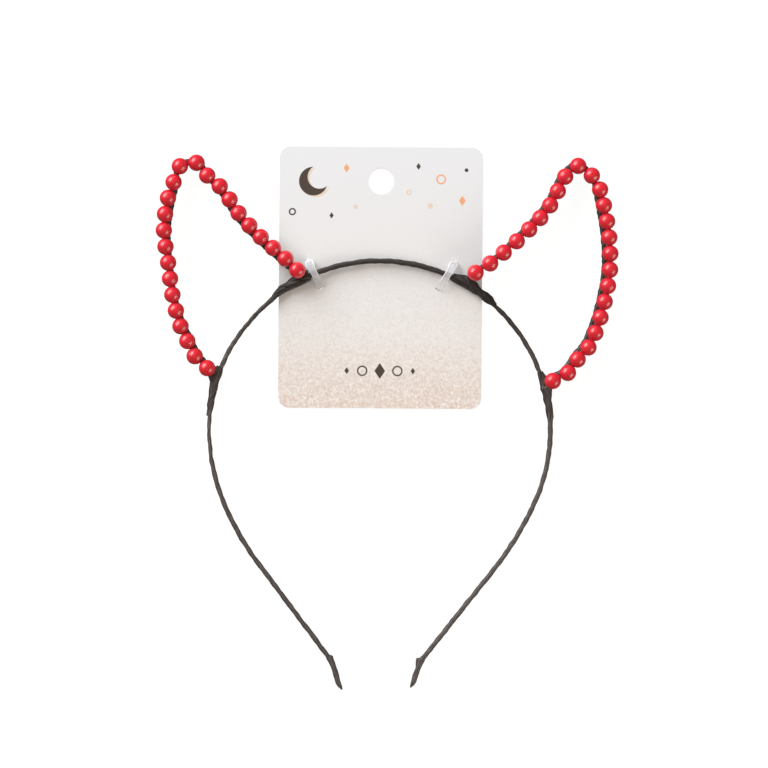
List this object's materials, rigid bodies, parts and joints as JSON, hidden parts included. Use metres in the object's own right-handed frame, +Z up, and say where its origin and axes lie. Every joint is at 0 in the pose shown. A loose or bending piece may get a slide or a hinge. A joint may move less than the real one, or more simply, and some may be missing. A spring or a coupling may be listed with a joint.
{
  "type": "devil horns headband on a display card",
  "caption": "Slim black ribbon-wrapped headband with open devil horns edged in red beads, tied to a plain display card with a hanging hole.",
  "frame": {"origin": "middle of the underside of the whole, on the surface that the card lies on", "axes": "+X from the left horn to the right one as seen from above, +Y from the band's tips to the horns, +Z up off the card"},
  "size_m": [0.1722, 0.2034, 0.0105],
  "materials": {
    "ribbon": "narrow satin ribbon wound over steel wire",
    "beads": "polished round acrylic beads",
    "card": "printed card with a faint glitter",
    "strap": "frosted translucent plastic strap"
  },
  "bodies": {
    "root": {"band": "ribbon", "left_horn_frame": "ribbon", "right_horn_frame": "ribbon", "left_horn_beads": "beads", "right_horn_beads": "beads", "left_inner_binding": "ribbon", "left_outer_binding": "ribbon", "right_inner_binding": "ribbon", "right_outer_binding": "ribbon", "left_end_cap": "ribbon", "right_end_cap": "ribbon", "card": "card", "left_tie": "strap", "right_tie": "strap"}
  },
  "joints": []
}
